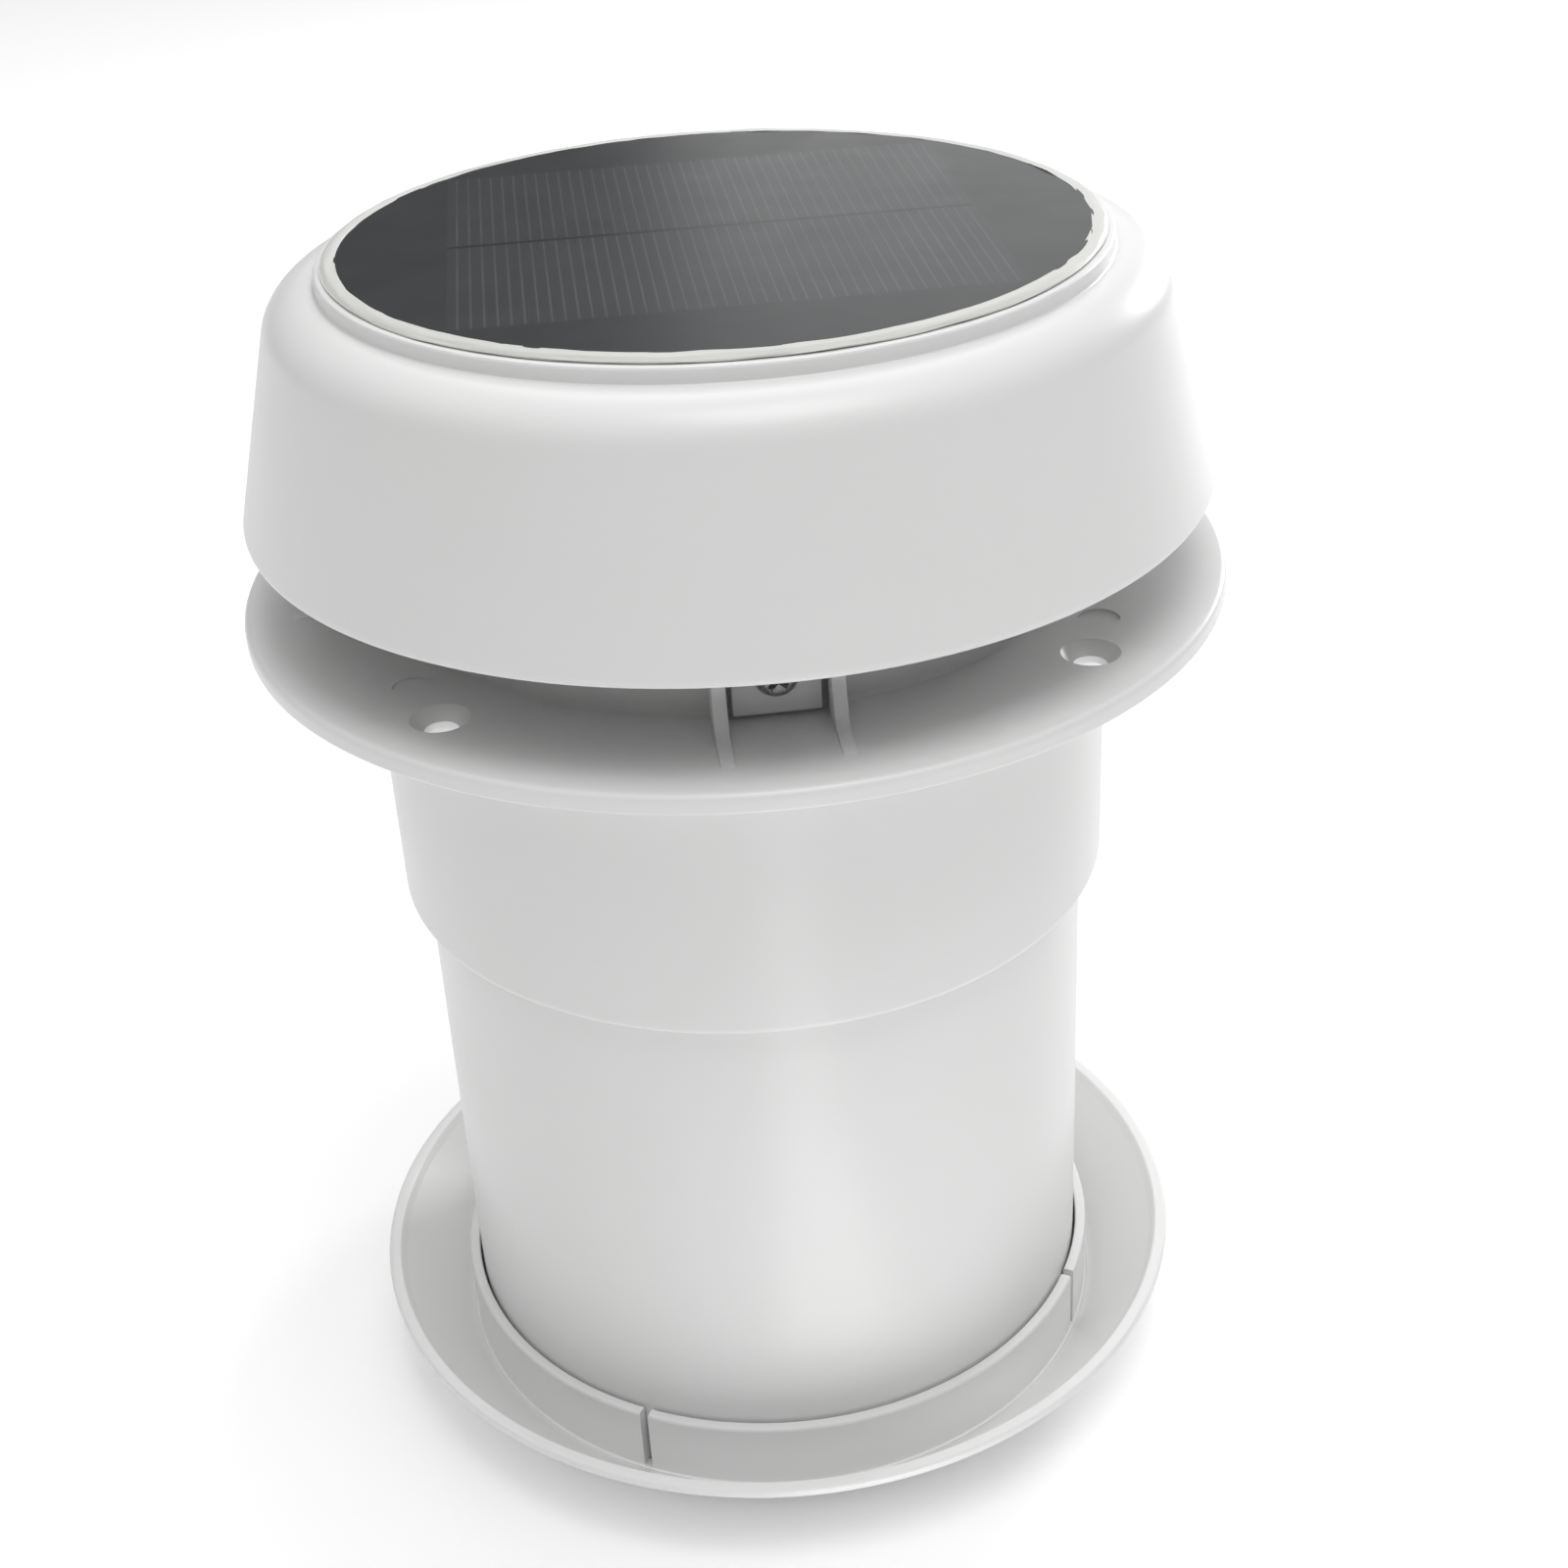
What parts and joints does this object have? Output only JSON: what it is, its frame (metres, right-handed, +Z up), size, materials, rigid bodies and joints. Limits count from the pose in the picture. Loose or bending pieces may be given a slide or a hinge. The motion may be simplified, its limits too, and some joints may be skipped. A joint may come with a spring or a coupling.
{
  "type": "solar attic fan",
  "caption": "Round roof ventilator: domed cap with a solar disc over a screwed deck flange, an impeller in the throat, a telescopic duct sleeve and a flared ceiling trim ring.",
  "frame": {"origin": "on the duct axis, in the plane of the trim ring's foot", "axes": "+Z up the duct towards the solar cap; -Y towards the front post and its cap screw; +X to the right"},
  "size_m": [0.163, 0.163, 0.2126],
  "materials": {
    "white_abs": "glossy moulded ABS",
    "black_nylon": "satin moulded nylon",
    "panel_board": "dark laminate board",
    "silicon_cell": "coated silicon wafer with fine contact fingers",
    "panel_laminate": "dark glossy cover film",
    "sealant": "white sealant bead",
    "stainless": "bright stainless steel",
    "zinc_steel": "zinc plated steel",
    "sintered_bronze": "sintered bronze",
    "ferrite": "ferrite magnet",
    "wound_armature": "steel core with copper winding",
    "black_rubber": "black rubber and PVC",
    "red_lead": "red PVC insulation",
    "screen_mesh": "grey insect mesh"
  },
  "bodies": {
    "housing": {"base_flange": "white_abs", "cap_cover": "white_abs", "cap_screw_right": "stainless", "cap_screw_back": "stainless", "cap_screw_left": "stainless", "cap_screw_front": "stainless", "panel_backing": "panel_board", "solar_cell_front": "silicon_cell", "solar_cell_back": "silicon_cell", "panel_cover": "panel_laminate", "sealant_bead": "sealant", "motor_holder": "white_abs", "holder_screw_1": "zinc_steel", "holder_screw_2": "zinc_steel", "holder_screw_3": "zinc_steel", "motor_screw_right": "zinc_steel", "motor_screw_left": "zinc_steel", "motor_can": "zinc_steel", "motor_end_cap": "black_nylon", "motor_bearing_lower": "sintered_bronze", "motor_bearing_upper": "sintered_bronze", "motor_magnet_right": "ferrite", "motor_magnet_left": "ferrite", "lead_grommet": "black_rubber", "lead_red": "red_lead", "lead_black": "black_rubber", "screen_frame": "white_abs", "insect_screen": "screen_mesh"},
    "fan": {"motor_armature": "wound_armature", "motor_shaft": "stainless", "impeller_bush": "sintered_bronze", "impeller": "black_nylon"},
    "sleeve": {"telescopic_sleeve": "white_abs"},
    "trim": {"trim_ring": "white_abs"}
  },
  "joints": [
    {"name": "fan_spin", "type": "hinge", "parent": "housing", "child": "fan", "pos_m": [0, 0, 0.1586], "axis": [0, 0, 1], "continuous": true},
    {"name": "sleeve_slide", "type": "slide", "parent": "housing", "child": "sleeve", "axis": [0, 0, 1], "range_m": [-0.006, 0.028]},
    {"name": "trim_slide", "type": "slide", "parent": "sleeve", "child": "trim", "axis": [0, 0, 1], "range_m": [0, 0.05]}
  ]
}
